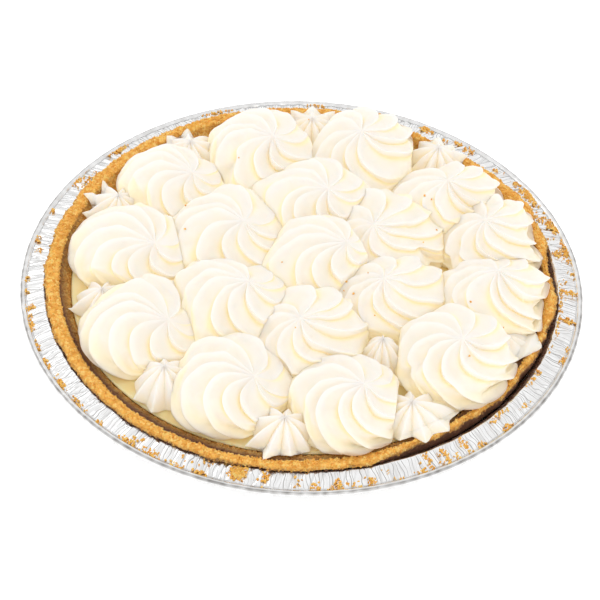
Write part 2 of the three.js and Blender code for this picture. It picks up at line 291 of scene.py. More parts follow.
creamLook = {
    "base": (0.925, 0.872, 0.815, 1),
    "hollow": (0.925, 0.865, 0.795, 1),
    # painted shade: a warm yellow for the channels, the seams between pieces and their low sides
    "crease": (0.94, 0.81, 0.54, 1),
    "paintedGlow": (0.14, 0.13, 0.12, 1),  # painted light: a glow that stands in for light that comes back out of thick cream
    # painted light: a stronger warm glow where the painted shade lies
    "paintedCreaseGlow": (0.94, 0.80, 0.52, 1),
    "unevenness": (140.0, 1100.0),  # broad and fine, for each metre
    "bump": (0.22, 0.0002),  # strength, depth in metres
    "shader": {
        "Roughness": 0.5,
        "Emission Strength": 0.15,
        "Subsurface Weight": 1.0,
        "Subsurface Radius": (1.0, 0.9, 0.8),
        "Subsurface Scale": 0.0028,
        "Specular IOR Level": 0.25,
    },
}


def makeCreamFinish():
    # painted shade and painted light: warmer in colour and glowing more where the piece has the attribute
    # "crease"
    material, tree, shader = newMaterial("cream")
    mask, height = addMottle(tree, creamLook)
    crease = addNode(tree, "ShaderNodeAttribute", attribute_name="crease").outputs["Fac"]
    soft = mixColor(tree, mask, creamLook["base"], creamLook["hollow"])
    color = mixColor(tree, crease, soft, creamLook["crease"])
    paintedGlow = mixColor(tree, crease, creamLook["paintedGlow"], creamLook["paintedCreaseGlow"])
    tree.links.new(color, shader.inputs["Base Color"])
    tree.links.new(paintedGlow, shader.inputs["Emission Color"])
    finishShader(tree, shader, height, creamLook)
    return material


fillingLook = {
    "base": (0.97, 0.74, 0.36, 1),
    "pale": (0.97, 0.80, 0.47, 1),
    "unevenness": (90.0, 700.0),
    "bump": (0.3, 0.0004),
    "shader": {
        "Roughness": 0.32,
        "Coat Weight": 0.25,
        "Coat Roughness": 0.2,
        "Subsurface Weight": 1.0,
        "Subsurface Radius": (1.0, 0.85, 0.7),
        "Subsurface Scale": 0.002,
    },
}


def makeFillingFinish():
    material, tree, shader = newMaterial("filling")
    mask, height = addMottle(tree, fillingLook)
    color = mixColor(tree, mask, fillingLook["base"], fillingLook["pale"])
    tree.links.new(color, shader.inputs["Base Color"])
    finishShader(tree, shader, height, fillingLook)
    return material


crumbLook = {
    "gold": (0.96, 0.53, 0.11, 1),
    "honey": (0.76, 0.35, 0.052, 1),
    "pale": (0.98, 0.64, 0.19, 1),
    # dark brown for real browning and for painted shade under the crest and on the outer wall
    "bakedAndShaded": (0.14, 0.055, 0.024, 1),
    "grains": 900.0,  # for each metre
    "paleGrains": (0.62, 0.9),  # share of the grains from which they turn pale, and are fully pale
    "unevenness": (420.0, 1500.0),
    "bump": (0.7, 0.0006),
    "shader": {
        "Roughness": 0.8,
        "Subsurface Weight": 0.25,
        "Subsurface Radius": (1.0, 0.5, 0.2),
        "Subsurface Scale": 0.0006,
    },
}


def makeCrumbFinish():
    # golden crumb, made darker by an attribute on the piece that holds real browning and painted shade
    material, tree, shader = newMaterial("crust")
    mask, height = addMottle(tree, crumbLook)
    coords = addNode(tree, "ShaderNodeTexCoord").outputs["Object"]
    cells = addNode(tree, "ShaderNodeTexVoronoi", {"Vector": coords, "Scale": crumbLook["grains"]})
    grain = addNode(tree, "ShaderNodeSeparateColor", {"Color": cells.outputs["Color"]})
    light = rampBetween(tree, grain.outputs[0], *crumbLook["paleGrains"])
    bakeAndShade = addNode(tree, "ShaderNodeAttribute", attribute_name="bakeAndShade").outputs["Fac"]
    color = mixColor(tree, mask, crumbLook["honey"], crumbLook["gold"])
    color = mixColor(tree, light, color, crumbLook["pale"])
    color = mixColor(tree, bakeAndShade, color, crumbLook["bakedAndShaded"])
    tree.links.new(color, shader.inputs["Base Color"])
    finishShader(tree, shader, height, crumbLook)
    return material


foilLook = {
    "bright": (0.92, 0.92, 0.92, 1),
    "dull": (0.86, 0.855, 0.85, 1),
    # painted shade and dark reflection, for the folds, the corner before the bead, the bead and the outer
    # wall
    "fold": (0.24, 0.225, 0.21, 1),
    "roughness": (0.16, 0.34),
    "creases": 78.0,  # thin creases across the flange, for each radian
    # how dark the painted shade in the thin creases is
    "creaseDarkness": 0.9,
    "creaseEdge": (0.02, 0.13),  # where a crease begins to fade and where it ends, in parts of their spacing
    "unevenness": (220.0, 1400.0),
    "bump": (0.35, 0.0003),
    "shader": {"Metallic": 1.0},
}


def addMath(tree, operation, first, second):
    return addNode(tree, "ShaderNodeMath", {0: first, 1: second}, operation=operation).outputs[0]


def addCreases(tree):
    # thin uneven lines that run outwards, 0 to 1
    coords = addNode(tree, "ShaderNodeTexCoord").outputs["Object"]
    axes = addNode(tree, "ShaderNodeSeparateXYZ", {"Vector": coords}).outputs
    angle = addMath(tree, "ARCTAN2", axes["Y"], axes["X"])
    bend = addNode(tree, "ShaderNodeTexNoise", {"Vector": coords, "Scale": 130.0, "Detail": 1.0})
    along = addMath(tree, "MULTIPLY", angle, foilLook["creases"])
    along = addMath(tree, "ADD", along, addMath(tree, "MULTIPLY", bend.outputs["Fac"], 3.0))
    cells = addNode(tree, "ShaderNodeTexVoronoi", {"W": along, "Scale": 1.0},
                    voronoi_dimensions="1D", feature="DISTANCE_TO_EDGE")
    fadeStart, fadeEnd = foilLook["creaseEdge"]
    line = rampBetween(tree, cells.outputs["Distance"], fadeEnd, fadeStart)
    patchy = addNode(tree, "ShaderNodeTexNoise", {"W": along, "Scale": 0.8, "Detail": 1.0},
                     noise_dimensions="1D")
    faint = rampBetween(tree, patchy.outputs["Fac"], 0.3, 0.62)
    return addMath(tree, "MULTIPLY", line, faint)


def makeFoilFinish():
    # painted shade and dark reflection where the piece has the attribute "fold"; thin creases, darkened as
    # painted shade and pressed in by the bump, where it has "flange"
    material, tree, shader = newMaterial("foil")
    mask, height = addMottle(tree, foilLook)
    fold = addNode(tree, "ShaderNodeAttribute", attribute_name="fold").outputs["Fac"]
    flange = addNode(tree, "ShaderNodeAttribute", attribute_name="flange").outputs["Fac"]
    crease = addMath(tree, "MULTIPLY", addCreases(tree), flange)
    dark = addMath(tree, "MAXIMUM", fold, addMath(tree, "MULTIPLY", crease, foilLook["creaseDarkness"]))
    color = mixColor(tree, mask, foilLook["bright"], foilLook["dull"])
    tree.links.new(mixColor(tree, dark, color, foilLook["fold"]), shader.inputs["Base Color"])
    smoothest, roughest = foilLook["roughness"]
    rough = addNode(tree, "ShaderNodeMapRange", {"Value": mask, "To Min": smoothest, "To Max": roughest})
    tree.links.new(rough.outputs["Result"], shader.inputs["Roughness"])
    finishShader(tree, shader, addMath(tree, "SUBTRACT", height, crease), foilLook)
    return material


creamFinish = makeCreamFinish()
crustFinish = makeCrumbFinish()
fillingFinish = makeFillingFinish()
foilFinish = makeFoilFinish()
print("materials made")

foilPan = {  # lengths in mm
    "radius": highest("foil_pan")[0],
    "beadRadius": 1.4,
    "beadHeight": 27.0,
    "flangeInner": 111.6,
    "flangeHeight": 29.4,
    "floorRadius": 92.0,
    "corner": 2.0,  # rounding between the floor and the wall
    "lip": 1.0,  # rounding between the wall and the flange
    "foil": 0.5,
    "folds": 330,  # fine folds across the flange
    "foldDepth": 0.42,
    "fineFoldDepth": 0.16,
    "dents": 96,
    "dentDepth": 0.4,
    "pleats": 150,  # down the wall
    "pleatDepth": 0.3,
    "columns": 1360,
}


def wallRadius(z):
    # middle of the foil of the sloping wall at a height, mm
    start = foilPan["floorRadius"] + foilPan["corner"]
    end = foilPan["flangeInner"] - 0.9
    slope = (end - start) / (foilPan["flangeHeight"] - foilPan["lip"] - foilPan["corner"])
    return start + (z - foilPan["corner"]) * slope


def panOutline():
    # radius and height of the foil's underside, of the bead and of its upper side
    p = foilPan
    half = p["foil"] / 2
    bead = p["radius"] - p["beadRadius"]
    flange = p["flangeHeight"] - 0.05
    wallFoot = p["corner"]
    wallTop = p["flangeHeight"] - p["lip"]
    under = alongLines([
        (40, 0), (p["floorRadius"], 0), (wallRadius(wallFoot) + half, wallFoot - half),
        (wallRadius(wallTop) + half, wallTop - half), (p["flangeInner"] + 0.7, flange - half),
        (bead - 1.2, p["beadHeight"] + 0.1 - half)], [2, 3, 9, 3, 10])
    over = alongLines([
        (bead - 1.5, p["beadHeight"] + 0.45 + half), (p["flangeInner"] + 0.3, flange + half),
        (wallRadius(wallTop) - half, wallTop + half), (wallRadius(wallFoot) - half, wallFoot + half),
        (p["floorRadius"] - 0.6, p["foil"]), (40, p["foil"])], [14, 3, 8, 2, 2])
    turns = np.radians(np.linspace(200, 515, 15))
    rolled = [bead + p["beadRadius"] * np.cos(turns), p["beadHeight"] + p["beadRadius"] * np.sin(turns)]
    return np.array(under), np.stack(rolled, 1), np.array(over)


def flangeTop(r):
    # height of the upper side of the flange at a radius, mm
    p = foilPan
    inner, outer = p["flangeInner"] + 0.3, p["radius"] - p["beadRadius"] - 1.5
    high, low = p["flangeHeight"] - 0.05, p["beadHeight"] + 0.45
    return high + p["foil"] / 2 - (r - inner) * (high - low) / (outer - inner)


def makeFoilPan():
    p = foilPan
    bearing = np.arange(p["columns"]) / p["columns"] * 360
    under, bead, over = panOutline()
    rows = np.concatenate([under, bead, over])
    row = np.arange(len(rows))[:, None]
    isUnder = row < len(under)
    isBead = 1.0 * ((row >= len(under)) & (row < len(under) + len(bead)))
    r, z = (np.tile(rows[:, i:i + 1], p["columns"]) for i in (0, 1))

    beadAt = p["radius"] - p["beadRadius"]
    flangeAt = p["flangeInner"] - 0.4
    onFlange = smooth((r - flangeAt) / 1.6) * (1 - isBead)
    onWall = smooth((z - 1.5) / 3) * smooth((flangeAt + 1.3 - r) / 1.5)
    middle = np.sin(np.clip((r - flangeAt) / (beadAt - flangeAt), 0, 1) * math.pi) ** 0.5

    # crinkled flange, wavy bead and pleated wall
    skew = 0.10 + 0.12 * np.sin(np.radians(bearing * 7)) + 0.07 * np.sin(np.radians(bearing * 17))
    slant = (r - flangeAt - 0.8) * skew
    folds = p["foldDepth"] * zigzag(bearing + slant, p["folds"], 5)
    folds = folds + p["fineFoldDepth"] * zigzag(bearing - slant * 0.7 + 0.2, p["folds"] * 2, 12)
    dents = p["dentDepth"] * np.clip(zigzag(bearing - slant * 0.5, p["dents"], 6), -1, 0.3)
    wobble = 0.07 * zigzag(bearing, 210, 8) + 0.1 * np.sin(np.radians(bearing * 5 + 40))
    lift = onFlange * (0.35 + 0.65 * middle) * folds + onFlange * middle * dents + isBead * wobble
    pleats = zigzag(bearing, p["pleats"], 9)
    reach = r + onWall * p["pleatDepth"] * pleats + isBead * (0.07 * zigzag(bearing, 170, 10) - 0.08)
    angle = np.radians(bearing)
    points = np.stack([reach * np.cos(angle), reach * np.sin(angle), np.maximum(z + lift, z * 0.5)], -1) * mm
    pan = ringMesh("foilPan", points, (0, 0, 0), (0, 0, p["foil"] * mm))

    # painted shade and dark reflection: grey in the folds, in the corner before the bead, along the bead and
    # down the outside
    grey = np.clip(0.45 + 0.35 * zigzag(bearing, 300, 14) + 0.25 * zigzag(bearing, 90, 15), 0.1, 1)
    foldLine = foldLines(bearing + slant, p["folds"], 5, 0.18)
    dentLine = 0.6 * foldLines(bearing - slant * 0.5, p["dents"], 6, 0.25)
    beadLine = isBead * np.clip(1.4 - np.abs(r - (beadAt + 0.75)) / 0.4, 0, 1) * (z > p["beadHeight"] - 0.5)
    inCorner = np.clip(1 - np.abs(r - (beadAt - 1.4)) / 0.7, 0, 1) * (1 - isBead)
    fold = 0.45 * np.maximum(foldLine, dentLine) * onFlange * middle
    fold = fold + (0.4 + 0.4 * grey) * inCorner
    fold = fold + isBead * (0.25 * grey + 0.05) + beadLine * (0.35 + 0.5 * grey)
    fold = fold + isUnder * onWall * np.clip(0.5 - 0.4 * pleats, 0.2, 0.9)
    setAttribute(pan, "fold", np.clip(fold, 0, 1))
    setAttribute(pan, "flange", onFlange * np.clip((beadAt - 1.3 - r) / 0.8, 0, 1))
    finishPiece(pan, foilFinish, "foil", "foil_pan")


makeFoilPan()
print("foil pan made")

filling = {  # lengths in mm
    "foot": lowest("filling")[2],
    "top": highest("filling")[2],
    "wave": 0.25,
    "smear": 1.3,  # how far it is smeared up the crust at the left and front
    "columns": 360,
}


def smearAt(bearing):
    return filling["smear"] * swell(bearing, 240, 85)


crustForm = {  # lengths in mm
    "foot": lowest("crust")[2],
    "outer": 112.5,  # radius of the crest's outer edge
    "inner": 105.0,
    "crest": 32.3,  # height of the crest
    # how much further out the edges lie round some bearings: length, bearing, half width in degrees
    "outerSwells": [(1.5, 248, 58), (-3.4, 317, 40), (-1.2, 345, 30), (-1.8, 298, 16), (-2.8, 6, 13),
                    (0.8, 27, 10), (-3.0, 56, 26)],
    "innerSwells": [(2.6, 250, 60), (-0.8, 312, 36), (1.0, 95, 60)],
    "floorTop": 6.4,
    "gap": 0.4,  # between crust and foil
    "relief": 0.52,  # depth of the crumb
    "raggedness": 0.55,  # how far the outer edge wanders
    "columns": 1000,
    "grains": 9500,
    "grainArea": 0.0098,  # square metres of crust that they lie on
    "grainSize": (0.36, 0.85),  # radius
}


def crustShape(bearing):
    # outer edge, inner edge and height of the crust's crest at a bearing, mm
    outer = crustForm["outer"]
    for length, centre, halfWidth in crustForm["outerSwells"]:
        outer = outer + length * swell(bearing, centre, halfWidth)
    inner = crustForm["inner"]
    for length, centre, halfWidth in crustForm["innerSwells"]:
        inner = inner + length * swell(bearing, centre, halfWidth)
    top = crustForm["crest"] + 0.7 * np.sin(np.radians(bearing)) + 0.7 * swell(bearing, 130, 45)
    return outer, inner, top


def crumbRelief(points, size, seed):
    # rounded grains of about this size with gaps between them, 0 to 1
    offset = Vector((seed * 7.1, seed * 3.3, seed * 1.7))
    values = []
    for point in points:
        near = noise.voronoi(Vector(point) / size + offset)[0]
        values.append(1 - min(1.0, near[0] * 1.5))
    return np.array(values)


def crustOutline(bearing, rough):
    # rows from the underside up the wall, over the crest and down to the floor inside;
    # each row holds radius, height, how far crumb relief goes and how dark it is made, by real browning and
    # by painted shade on the outer wall and just under the crest's inner edge
    def wall(z):
        return wallRadius(z) - foilPan["foil"] / 2 - crustForm["gap"]

    outer, inner, top = crustShape(bearing)
    top = top + 0.35 * rough * zigzag(bearing, 61, 33)
    ragged = rough * (0.6 * zigzag(bearing, 110, 31) + 0.8 * zigzag(bearing, 47, 32))
    edge = outer + crustForm["raggedness"] * ragged - 0.75
    # where the crest is narrow its shoulder sits lower, inside the wall of the pan
    wide = np.clip((outer - 110.6) / 1.2, 0, 1)
    shoulder = 26.5 + (30 - 26.5) * wide
    shoulderReach = np.where(shoulder < 29.3, np.minimum(edge - 0.6, wall(shoulder)), 110.9)
    wallTop = 24 + (28.2 - 24) * wide
    slopeFoot = 100.9 + smearAt(bearing)
    stops = [
        (70, crustForm["foot"], 0, 0.0),
        (91.1, crustForm["foot"], 0, 0.0),
        # darker up the outer wall: real browning with painted shade
        (wall(2.6), 2.6, 0, 0.1),
        (wall(wallTop * 0.5), wallTop * 0.5, 0, 0.3),
        (wall(wallTop), wallTop, 0.1, 0.95),
        (shoulderReach, shoulder, 0.3, 1.0),
        (edge - 0.35, 28.6 + 1.6 * wide, 0.7, 1.0),
        (edge, 30.2 + 0.6 * wide, 1, 0.9),
        (edge - 0.3, top - 0.75, 1, 0.35),
        (edge - 1.4, top - 0.15, 1, 0.0),
        (inner + (outer - inner) * 0.5, top + 0.15, 1, 0.0),
        (inner + 1.2, top - 0.15, 1, 0.0),
        # painted shadow just under the inner edge of the crest, then browning with painted shade down the
        # slope
        (inner + 0.2, top - 0.8, 1, 0.15),
        (inner - 0.1, top - 1.3, 1, 1.2),
        (inner * 0.8 + slopeFoot * 0.2, 30.4, 1, 1.0),
        (inner * 0.4 + slopeFoot * 0.6, 29.2, 0.9, 0.7),
        (slopeFoot, 27.6, 0.7, 0.4),
        (99.3, 24.8, 0.1, 0.3),
        (88.6, crustForm["floorTop"], 0, 0.0),
    ]
    rows = alongLines(stops, [1, 2, 3, 3, 4, 4, 4, 5, 5, 7, 7, 4, 2, 4, 5, 5, 2, 3])
    return [np.array([row[i] + 0.0 * bearing for row in rows]) for i in range(4)]


def makeCrust():
    bearing = np.arange(crustForm["columns"]) / crustForm["columns"] * 360
    rough = 1 + 0.9 * swell(bearing, 312, 50) + 0.8 * swell(bearing, 8, 45)
    r, z, relief, bakeAndShade = crustOutline(bearing, rough)
    outsideRows = 20  # these, under and up the outside, are darkened alike all round; the rest are darkest at the front, where painted shade lies on the inner slope
    front = np.maximum(swell(bearing, 225, 75) ** 0.5, swell(bearing, 330, 60) ** 0.5)
    bakeAndShade[outsideRows:] *= 0.2 + 0.8 * front
    # round the corners of the outline a little
    for _ in range(3):
        r[1:-1] = r[1:-1] * 0.5 + (r[:-2] + r[2:]) * 0.25
        z[1:-1] = z[1:-1] * 0.5 + (z[:-2] + z[2:]) * 0.25
    angle = np.radians(bearing)[None, :]
    points = np.stack([r * np.cos(angle), r * np.sin(angle), z], -1)
    shown = relief > 0.02
    depth = np.zeros_like(r)
    depth[shown] = 0.62 * crumbRelief(points[shown], 1.5, 1) + 0.38 * crumbRelief(points[shown], 0.8, 2)
    slow = np.zeros_like(r)
    slow[shown] = [noise.noise(Vector(point) / 5.0) for point in points[shown]]
    push = relief * (crustForm["relief"] * (depth * 1.6 - 0.9) + 0.35 * slow)
    alongR, alongZ = np.gradient(r, axis=0), np.gradient(z, axis=0)
    steep = np.hypot(alongR, alongZ) + 1e-9
    r = r + push * alongZ / steep
    z = z - push * alongR / steep
    points = np.stack([r * np.cos(angle), r * np.sin(angle), z], -1) * mm
    crust = ringMesh("crust", points, (0, 0, crustForm["foot"] * mm), (0, 0, crustForm["floorTop"] * mm))
    # painted shade: a little darker in the pits between grains wherever the crust is darkened
    setAttribute(crust, "bakeAndShade", np.clip(bakeAndShade + 0.25 * (0.5 - depth) * (bakeAndShade > 0.05), 0, 1))
    setAttribute(crust, "crumbs", np.where(relief > 0.65, np.clip(1.15 - bakeAndShade, 0.15, 1), 0))
    return crust


crust = makeCrust()
print("crust made")


def makeGrain():
    # one crumb, an uneven little stone of twenty faces, 1 mm in radius
    rng = random.Random(4)
    shape = bmesh.new()
    bmesh.ops.create_icosphere(shape, subdivisions=1, radius=mm)
    for vertex in shape.verts:
        vertex.co *= rng.uniform(0.72, 1.12)
    mesh = bpy.data.meshes.new("grain")
    shape.to_mesh(mesh)
    shape.free()
    return bpy.data.objects.new("grain", mesh)


def makeScatterGroup():
    # grains spread over a surface where its attribute "crumbs" allows them
    group = bpy.data.node_groups.new("crumbScatter", "GeometryNodeTree")
    kinds = {"Surface": "Geometry", "Grain": "Object", "Density": "Float", "Smallest": "Float",
             "Largest": "Float", "Seed": "Int", "Material": "Material"}
    for label, kind in kinds.items():
        group.interface.new_socket(label, in_out="INPUT", socket_type="NodeSocket" + kind)
    group.interface.new_socket("Crumbs", in_out="OUTPUT", socket_type="NodeSocketGeometry")
    enter = group.nodes.new("NodeGroupInput").outputs
    leave = group.nodes.new("NodeGroupOutput")
    allowed = addNode(group, "GeometryNodeInputNamedAttribute", {"Name": "crumbs"}, data_type="FLOAT")
    density = addNode(group, "ShaderNodeMath", {0: allowed.outputs["Attribute"], 1: enter["Density"]},
                      operation="MULTIPLY")
    spread = addNode(group, "GeometryNodeDistributePointsOnFaces", {
        "Mesh": enter["Surface"], "Density": density.outputs[0], "Seed": enter["Seed"]})
    turn = addNode(group, "FunctionNodeRandomValue", {
        "Min": (0, 0, 0), "Max": (tau, tau, tau), "Seed": enter["Seed"]}, data_type="FLOAT_VECTOR")
    rotation = addNode(group, "FunctionNodeEulerToRotation", {"Euler": turn.outputs["Value"]})
    stretch = addNode(group, "FunctionNodeRandomValue", {
        "Min": (0.7, 0.7, 0.6), "Max": (1.25, 1.25, 1.0), "Seed": enter["Seed"]}, data_type="FLOAT_VECTOR")
    size = addNode(group, "FunctionNodeRandomValue", data_type="FLOAT")
    # the sockets of the number kind come after those of the vector kind
    group.links.new(enter["Smallest"], size.inputs[2])
    group.links.new(enter["Largest"], size.inputs[3])
    group.links.new(enter["Seed"], size.inputs["Seed"])
    scale = addNode(group, "ShaderNodeVectorMath", {0: stretch.outputs["Value"]}, operation="SCALE")
    group.links.new(size.outputs[1], scale.inputs["Scale"])
    grain = addNode(group, "GeometryNodeObjectInfo", {"Object": enter["Grain"]})
    placed = addNode(group, "GeometryNodeInstanceOnPoints", {
        "Points": spread.outputs["Points"], "Instance": grain.outputs["Geometry"],
        "Rotation": rotation.outputs["Rotation"], "Scale": scale.outputs["Vector"]})
    real = addNode(group, "GeometryNodeRealizeInstances", {"Geometry": placed.outputs["Instances"]})
    dressed = addNode(group, "GeometryNodeSetMaterial", {
        "Geometry": real.outputs["Geometry"], "Material": enter["Material"]})
    group.links.new(dressed.outputs["Geometry"], leave.inputs["Crumbs"])
    return group


crumbScatter = makeScatterGroup()
grainShape = makeGrain()


def scatterCrumbs(name, surfaceMesh, density, sizes, seed):
    # density in grains per square metre
    carrier = bpy.data.objects.new(name + "Carrier", surfaceMesh)
    bpy.context.collection.objects.link(carrier)
    modifier = carrier.modifiers.new("scatter", "NODES")
    modifier.node_group = crumbScatter
    values = {"Grain": grainShape, "Density": density, "Smallest": sizes[0], "Largest": sizes[1],
              "Seed": seed, "Material": crustFinish}
    for item in crumbScatter.interface.items_tree:
        if item.name in values:
            modifier[item.identifier] = values[item.name]
    depsgraph = bpy.context.evaluated_depsgraph_get()
    mesh = bpy.data.meshes.new_from_object(carrier.evaluated_get(depsgraph), depsgraph=depsgraph)
    bpy.data.objects.remove(carrier)
    mesh.name = name
    piece = bpy.data.objects.new(name, mesh)
    bpy.context.collection.objects.link(piece)
    mesh.shade_flat()
    finishPiece(piece, crustFinish, "crust")
    print(name, len(mesh.polygons), "faces")
    return piece


grainDensity = crustForm["grains"] / crustForm["grainArea"]
scatterCrumbs("crustCrumbs", crust.data, grainDensity, crustForm["grainSize"], 11)
finishPiece(crust, crustFinish, "crust", "crust")

looseCrumbs = {
    "count": 1900,
    "grainSize": (0.28, 0.72),
    # along the bead and across the flange: bearing, half width, inner radius, outer radius, amount
    "clusters": [
        (4, 1.5, 118, 120, 0.5), (8, 2, 118, 120, 0.6), (12, 3, 117.5, 120.2, 1),
        (19.5, 3.2, 116.5, 120.5, 1.4), (30, 3.6, 115.5, 120.5, 1.4), (34.6, 1.4, 116.5, 120, 0.9),
        (40.5, 1, 115, 117, 0.5), (50, 1.2, 115, 120, 0.7), (53, 1.4, 117, 120, 0.7),
        (56, 1, 112, 116, 0.5), (61.5, 2, 115.5, 120.3, 1.2), (72, 3, 118, 120, 0.8),
        (88, 3, 118, 120, 0.5), (112, 4, 118, 120, 0.5), (137.5, 2.6, 117.5, 120.5, 1.2),
        (151.5, 2.4, 118, 120.3, 0.9), (162, 1, 118.5, 120, 0.5), (171.5, 1.2, 118, 120.3, 0.6),
        (175, 0.8, 115, 119, 0.3), (184, 1.5, 118.8, 120.3, 0.7), (188, 1, 118.8, 120.3, 0.7),
        (192.5, 1.1, 116.5, 120.3, 0.8), (197, 2.2, 118.6, 120.3, 1), (203.5, 1.8, 118.8, 120.3, 0.9),
        (209, 2, 118.8, 120.3, 1), (215, 2.6, 118.2, 120.3, 1), (222, 2.6, 118.8, 120.3, 0.9),
        (228, 1.4, 118.8, 120.3, 0.8), (235, 2.6, 118.4, 120.3, 1), (237, 1.2, 115.5, 120.3, 1),
        (241, 2.4, 117.8, 120.3, 1), (247, 1.8, 118.6, 120.3, 0.8), (252, 1.6, 118, 120.3, 0.9),
        (252, 1, 113, 115, 0.7), (258.8, 1.9, 112.8, 118, 4.5), (264.3, 0.7, 112.5, 119.5, 1),
        (271, 0.8, 115, 119.5, 0.6), (274, 1.2, 116.5, 120.3, 1), (278.5, 1.8, 116, 120.3, 1.1),
        (282, 1.2, 117.5, 120, 0.6), (285, 1, 117, 120.3, 1), (290, 1.2, 118.4, 120.3, 0.6),
        (295, 1.6, 118, 120.3, 0.9), (297.2, 0.6, 112.5, 120, 0.8), (301, 0.7, 112.3, 120.3, 1.2),
        (303.2, 0.7, 117, 120, 0.7), (305.8, 0.8, 112.5, 119.5, 1), (309, 1.2, 117.5, 120.3, 1),
        (316, 2, 117.5, 120.3, 0.8), (317, 3, 112.5, 114, 0.9), (323, 1.5, 116, 118, 0.3),
        (330, 3, 112.2, 113.5, 0.6), (338.5, 1, 118.8, 120.3, 0.9), (342, 1.2, 118.8, 120.3, 0.7),
        (349.4, 0.7, 112, 120.3, 1.3), (358, 0.7, 112, 120.3, 1.3), (10, 1.2, 112, 117, 0.8),
        (22, 1.4, 112, 117, 0.9), (26, 2, 112, 114, 0.9), (150, 6, 114, 116, 0.35),
        (350, 12, 112, 113, 0.5), (250, 20, 114, 119, 0.02), (290, 20, 114, 119, 0.03),
        (20, 25, 113, 119, 0.04),
    ],
}


def makeLooseCrumbs():
    # a surface just over the flange carries them; the surface itself is not kept
    columns, rows = 1440, 18
    start, end = 111.8, 120.6  # mm
    bearing = np.arange(columns) / columns * 360
    r = np.linspace(start, end, rows)[:, None] + 0 * bearing
    z = flangeTop(r) + 0.25
    amount = np.zeros((rows, columns))
    for centre, halfWidth, inner, outer, weight in looseCrumbs["clusters"]:
        middle, reach = (inner + outer) / 2, (outer - inner) / 2 + 0.4
        around = swell(bearing, centre, halfWidth * 1.25)
        outwards = np.clip(1 - np.abs(r - middle) / reach, 0, 1) ** 0.5
        amount = np.maximum(amount, weight * around * outwards)
    angle = np.radians(bearing)
    points = np.stack([r * np.cos(angle), r * np.sin(angle), z], -1) * mm
    j = np.arange(columns)
    k = (j + 1) % columns
    quads = []
    for i in range(rows - 1):
        a, b = i * columns, (i + 1) * columns
        quads.append(np.stack([a + j, b + j, b + k, a + k], 1))
    carrier = meshObject("flangeSurface", points.reshape(-1, 3), [np.concatenate(quads)])
    attribute = carrier.data.attributes.new("crumbs", "FLOAT", "POINT")
    attribute.data.foreach_set("value", amount.ravel().astype(np.float32))
    cell = (end - start) * mm / rows * (tau * 116 * mm / columns)  # area for each point of the surface
    density = looseCrumbs["count"] / (amount.sum() * cell)
    scatterCrumbs("looseCrumbs", carrier.data, density, looseCrumbs["grainSize"], 17)
    bpy.data.objects.remove(carrier)


makeLooseCrumbs()
print("crumbs scattered")


def makeFilling():
    bearing = np.arange(filling["columns"]) / filling["columns"] * 360
    foot, top = filling["foot"], filling["top"]
    outline = np.array(alongLines(
        [(50, foot), (88.2, foot), (98.8, 24.9), (100.05, 27.2), (99.4, 27.75), (97.5, top), (4, top)],
        [2, 6, 3, 2, 2, 40]))
    r, z = outline[:, :1], outline[:, 1:]
    angle = np.radians(bearing)
    onTop = smooth((z - 27.3) / 0.5)
    r = r + smearAt(bearing) * smooth((r - 96) / 3)
    points = np.stack([r * np.cos(angle), r * np.sin(angle), z + 0 * angle], -1)
    wave = [noise.noise(Vector(point) / 9) + 0.4 * noise.noise(Vector(point) / 3)
            for point in points.reshape(-1, 3)]
    wave = np.reshape(wave, points.shape[:2])
    points[..., 2] += filling["wave"] * (wave - 0.4) * onTop
    piece = ringMesh("filling", points * mm, (0, 0, foot * mm), (0, 0, top * mm))
    finishPiece(piece, fillingFinish, "filling", "filling")


makeFilling()
print("filling made")

creamForm = {  # lengths in mm
    "base": lowest("cream_swirl_18")[2],  # height of the cream's underside
    "swirlLimit": 109.5,  # how far from the middle of the pie the tips reach
    "starLimit": 110.5,
    "slopeFoot": 99.7,  # radius from which the crumb slope lifts the cream
    "crestLimit": 108.5,  # radius beyond which cream is held back on the crest
    "neighbours": 60,  # pieces further apart than this do not touch
    # where the filling shows between the swirls: x, y, size
    "hollows": [(59, 3.5, 4.5), (-40, 54, 4), (-4, -63, 4), (42, -66, 4)],
}
swirls = [  # centre x, y, foot radius, height, bearing of a crest, lean x, y, lowering on the lean side
    # outer ring, from the back left to the front right
    (-23.6, 76.4, 24.2, 21.5, 249, 8.0, -3.6, 0.29),
    (26.2, 79.4, 23.8, 21.0, 272, -1.8, -1.7, 0.25),
    (-63.6, 50.5, 22.3, 21.5, 240, 12.9, -2.1, 0.40),
    (64.7, 45.6, 22.2, 20.5, 277, -1.5, 0.8, 0.30),
    (-79.1, 6.6, 23.0, 22.0, 223, 15.5, -6.6, 0.30),
    (83.8, 21.9, 22.0, 21.0, 307, -4.7, 0.0, 0.35),
    (84.6, -16.6, 22.8, 21.5, 279, -1.5, 6.0, 0.27),
    (-67.8, -41.7, 23.8, 22.5, 271, 13.5, -2.0, 0.55),
    (-28.1, -72.1, 24.0, 22.0, 274, 10.9, -2.3, 0.55),
    (19.8, -79.5, 23.2, 20.5, 268, 6.9, 1.3, 0.32),
    (64.5, -52.0, 24.2, 22.0, 276, 2.0, -2.4, 0.0),
    # inner ring
    (2.3, 42.3, 22.4, 21.5, 263, 7.8, -4.7, 0.23),
    (-33.7, 18.1, 23.3, 21.5, 274, 7.5, -2.2, 0.45),
    (38.5, 22.4, 22.5, 20.5, 356, -8.5, -4.4, 0.40),
    (-30.2, -27.3, 22.4, 22.5, 256, 7.8, 5.0, 0.35),
    (38.9, -18.0, 21.0, 20.5, 278, -4.5, 0.4, 0.32),
    (4.8, -42.5, 22.8, 21.0, 356, -5.0, -0.9, 0.33),
    # middle
    (5.0, 5.8, 21.0, 22.0, 307, 14.0, -2.5, 0.2),
]
